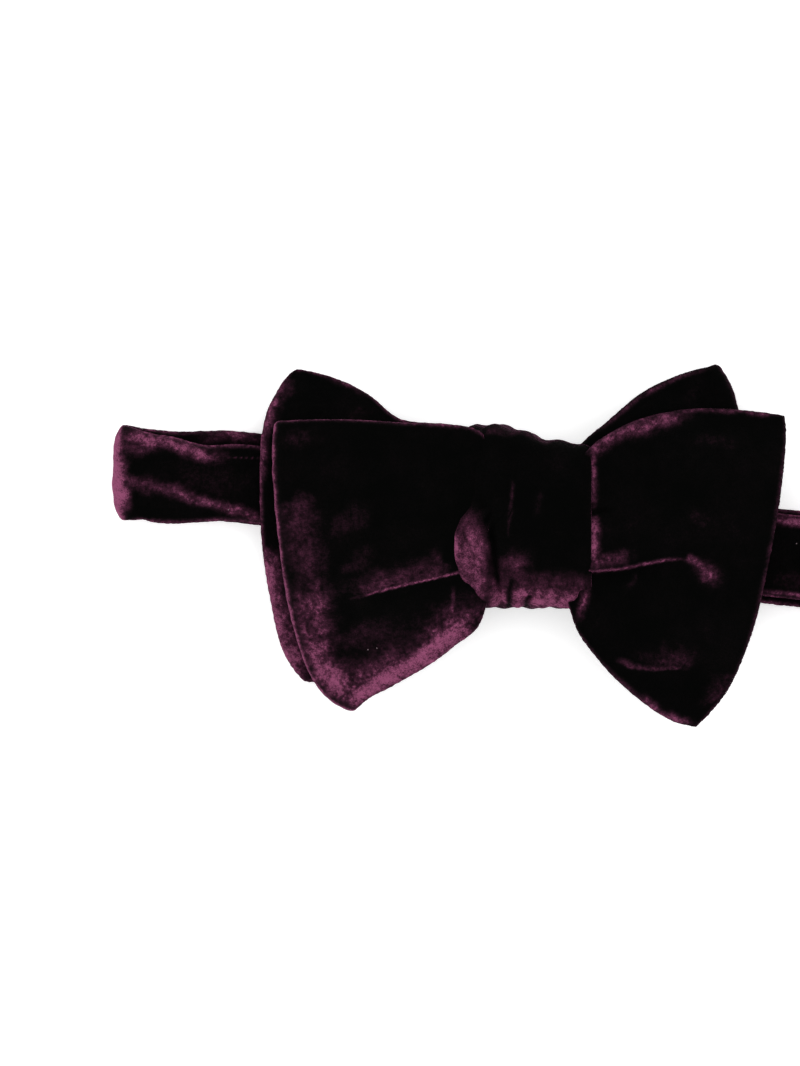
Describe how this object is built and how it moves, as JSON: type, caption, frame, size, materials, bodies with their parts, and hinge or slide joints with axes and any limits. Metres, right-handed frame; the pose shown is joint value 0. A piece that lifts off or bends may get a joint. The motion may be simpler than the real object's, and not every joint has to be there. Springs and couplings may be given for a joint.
{
  "type": "bow tie",
  "caption": "Velvet bow tie tied with a folded loop and a free end on each side of a wide knot, on a closed neckband with hook, eye and slider",
  "frame": {"origin": "on the underside of the neckband strap, straight behind the knot, where the closed tie lies on a table or a collar", "axes": "+X along the bow from its folded front loop to its free front end, +Y up the bow, +Z out of the bow's face"},
  "size_m": [0.2094, 0.0914, 0.0243],
  "materials": {
    "velvet": "dark plum silk velvet, soft pile, almost black face on",
    "interlining": "woven canvas stiffener",
    "thread": "dark plum sewing thread",
    "fittings": "satin nickel plate"
  },
  "bodies": {
    "knot_and_band": {"knot_velvet": "velvet", "knot_interlining": "interlining", "knot_seam_stitches": "thread", "rear_waist_front_velvet": "velvet", "rear_waist_interlining": "interlining", "rear_waist_back_velvet": "velvet", "front_waist_front_velvet": "velvet", "front_waist_interlining": "interlining", "front_waist_back_velvet": "velvet", "rear_loop_root": "velvet", "front_loop_root": "velvet", "band_front_velvet": "velvet", "band_interlining": "interlining", "band_back_velvet": "velvet", "left_side_fold": "velvet", "right_side_fold": "velvet"},
    "left_front_wing": {"left_front_loop_front_velvet": "velvet", "left_front_loop_interlining": "interlining", "left_front_loop_back_velvet": "velvet"},
    "left_rear_wing": {"left_rear_end_front_velvet": "velvet", "left_rear_end_interlining": "interlining", "left_rear_end_back_velvet": "velvet"},
    "right_front_wing": {"right_front_end_front_velvet": "velvet", "right_front_end_interlining": "interlining", "right_front_end_back_velvet": "velvet"},
    "right_rear_wing": {"right_rear_loop_front_velvet": "velvet", "right_rear_loop_interlining": "interlining", "right_rear_loop_back_velvet": "velvet"},
    "left_strap": {"left_strap_front_velvet": "velvet", "left_strap_interlining": "interlining", "left_strap_back_velvet": "velvet", "hook_tape": "velvet", "hook": "fittings", "strap_tail": "velvet"},
    "right_strap": {"right_strap_front_velvet": "velvet", "right_strap_interlining": "interlining", "right_strap_back_velvet": "velvet", "eye_tape": "velvet", "eye_ring": "fittings"},
    "slider": {"slider": "fittings"}
  },
  "joints": [
    {"name": "left_strap_open", "type": "hinge", "parent": "knot_and_band", "child": "left_strap", "pos_m": [-0.09829, 0.01137, 0.00505], "axis": [0.1149, 0.9934, 0], "range_deg": [0, 178], "deforming": ["left_side_fold"]},
    {"name": "right_strap_open", "type": "hinge", "parent": "knot_and_band", "child": "right_strap", "pos_m": [0.09829, -0.01137, 0.00505], "axis": [-0.1149, -0.9934, 0], "range_deg": [0, 178], "deforming": ["right_side_fold"]},
    {"name": "slider_slide", "type": "slide", "parent": "left_strap", "child": "slider", "axis": [0.9934, -0.1149, 0], "range_m": [0, 0.02], "deforming": ["strap_tail"]},
    {"name": "left_front_wing_lift", "type": "hinge", "parent": "knot_and_band", "child": "left_front_wing", "pos_m": [-0.019, 0, 0.0184], "axis": [0, 1, 0], "range_deg": [0, 25], "stiffness_Nm_per_rad": 0.01},
    {"name": "left_rear_wing_lift", "type": "hinge", "parent": "knot_and_band", "child": "left_rear_wing", "pos_m": [-0.019, 0, 0.0121], "axis": [0, 1, 0], "range_deg": [0, 10], "stiffness_Nm_per_rad": 0.01},
    {"name": "right_front_wing_lift", "type": "hinge", "parent": "knot_and_band", "child": "right_front_wing", "pos_m": [0.019, 0, 0.0202], "axis": [0, -1, 0], "range_deg": [0, 25], "stiffness_Nm_per_rad": 0.01},
    {"name": "right_rear_wing_lift", "type": "hinge", "parent": "knot_and_band", "child": "right_rear_wing", "pos_m": [0.019, 0, 0.0139], "axis": [0, -1, 0], "range_deg": [0, 10], "stiffness_Nm_per_rad": 0.01}
  ],
  "couplings": [
    {"joint": "right_strap_open", "follows": "left_strap_open", "ratio": 1},
    {"joint": "left_rear_wing_lift", "follows": "left_front_wing_lift", "ratio": 0.4},
    {"joint": "right_rear_wing_lift", "follows": "right_front_wing_lift", "ratio": 0.4}
  ]
}
